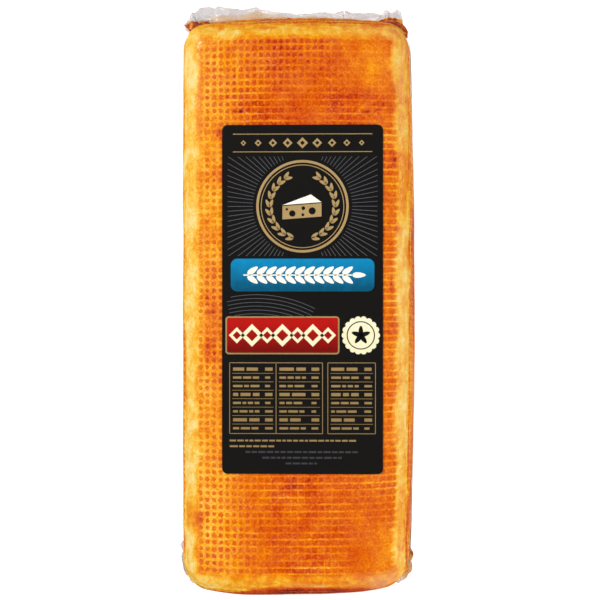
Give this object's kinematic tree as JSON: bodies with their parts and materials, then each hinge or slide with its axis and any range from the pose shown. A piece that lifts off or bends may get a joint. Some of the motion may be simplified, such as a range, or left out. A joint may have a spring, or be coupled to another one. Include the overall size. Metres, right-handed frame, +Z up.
{
  "type": "muenster cheese loaf",
  "caption": "Long moulded block of orange-rinded muenster cheese, sealed in clear vacuum film with a crumpled seam at one end and a dark label on its upper face.",
  "frame": {"origin": "middle of the flat resting face, under the middle of the loaf", "axes": "+Z up out of the labelled face, +Y along the loaf towards the sealed end of the bag, +X across it"},
  "size_m": [0.1126, 0.2872, 0.0864],
  "materials": {
    "annatto_rind": "soft moist rind, orange with pale yellow edges, under tight film",
    "clear_film": "clear glossy film",
    "label_black": "satin black printed label",
    "label_gold": "dull gold ink",
    "label_red": "red ink",
    "label_blue": "blue ink",
    "label_cream": "cream ink",
    "label_grey": "grey ink"
  },
  "bodies": {
    "root": {"vacuum_pack": "annatto_rind", "label": "label_black"}
  },
  "joints": []
}
